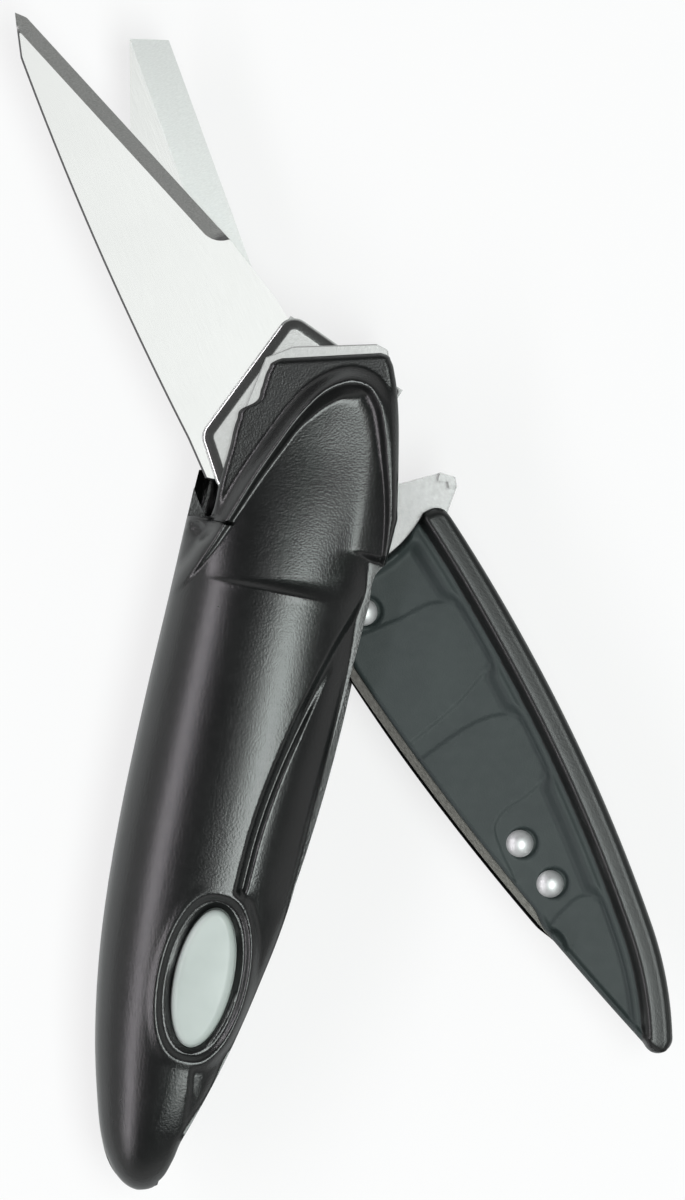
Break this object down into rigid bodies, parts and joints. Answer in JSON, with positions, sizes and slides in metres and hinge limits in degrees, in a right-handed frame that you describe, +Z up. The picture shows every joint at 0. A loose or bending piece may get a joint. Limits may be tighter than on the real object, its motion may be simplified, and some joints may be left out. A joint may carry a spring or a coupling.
{
  "type": "oyster knife",
  "caption": "Oyster knife with a black squeeze lever on a swelling handle, a pointed front blade and a blunt rear blade on one pivot, and an oval lock button.",
  "frame": {"origin": "centre of the part's box in plan, at its lowest point, with the tool lying on its back and the lever open", "axes": "+X to the lever's side, +Y from the butt to the blades, +Z up out of the front face"},
  "size_m": [0.096, 0.1718, 0.022],
  "materials": {
    "cover_plastic": "satin black moulded plastic",
    "lever_plastic": "fine-grained black moulded plastic",
    "frame_steel": "satin sheet steel",
    "arm_steel": "satin pressed steel with soft edges",
    "blade_steel": "bright polished flats and ground edges",
    "pin_steel": "turned steel",
    "rivet_steel": "bright domed heads",
    "screw_steel": "plain steel",
    "spring_steel": "blued spring strip",
    "button_plastic": "light grey-green, soft sheen"
  },
  "bodies": {
    "handle": {"handle_front_cover": "cover_plastic", "handle_rear_cover": "cover_plastic", "frame_front_plate": "frame_steel", "frame_rear_plate": "frame_steel", "pivot_pin": "pin_steel", "stop_pin": "pin_steel", "cover_screws": "screw_steel", "lever_spring": "spring_steel", "button_retainer": "frame_steel", "retainer_screws": "screw_steel", "button_spring": "spring_steel"},
    "lever": {"lever_arm": "arm_steel", "blade_bracket": "arm_steel", "front_blade": "blade_steel", "blade_rivets": "pin_steel", "lever_front_shell": "lever_plastic", "lever_rear_shell": "lever_plastic", "lever_rivets": "rivet_steel", "drive_pin": "pin_steel"},
    "rear_blade_swing": {"rear_blade": "blade_steel"},
    "button": {"lock_button": "button_plastic"}
  },
  "joints": [
    {"name": "lever_hinge", "type": "hinge", "parent": "handle", "child": "lever", "pos_m": [-0.0046, 0.02137, 0.011], "axis": [0, 0, 1], "range_deg": [-40, 0], "stiffness_Nm_per_rad": 0.3, "springref_deg": 20.05, "deforming": ["lever_spring"]},
    {"name": "rear_blade_hinge", "type": "hinge", "parent": "handle", "child": "rear_blade_swing", "pos_m": [-0.0046, 0.02137, 0.011], "axis": [0, 0, 1], "range_deg": [-28, 0]},
    {"name": "button_slide", "type": "slide", "parent": "handle", "child": "button", "axis": [0, 0, -1], "range_m": [0, 0.001], "stiffness_N_per_m": 400, "springref_m": -0.001, "deforming": ["button_spring"]}
  ],
  "couplings": [
    {"joint": "rear_blade_hinge", "follows": "lever_hinge", "ratio": 0.7}
  ]
}
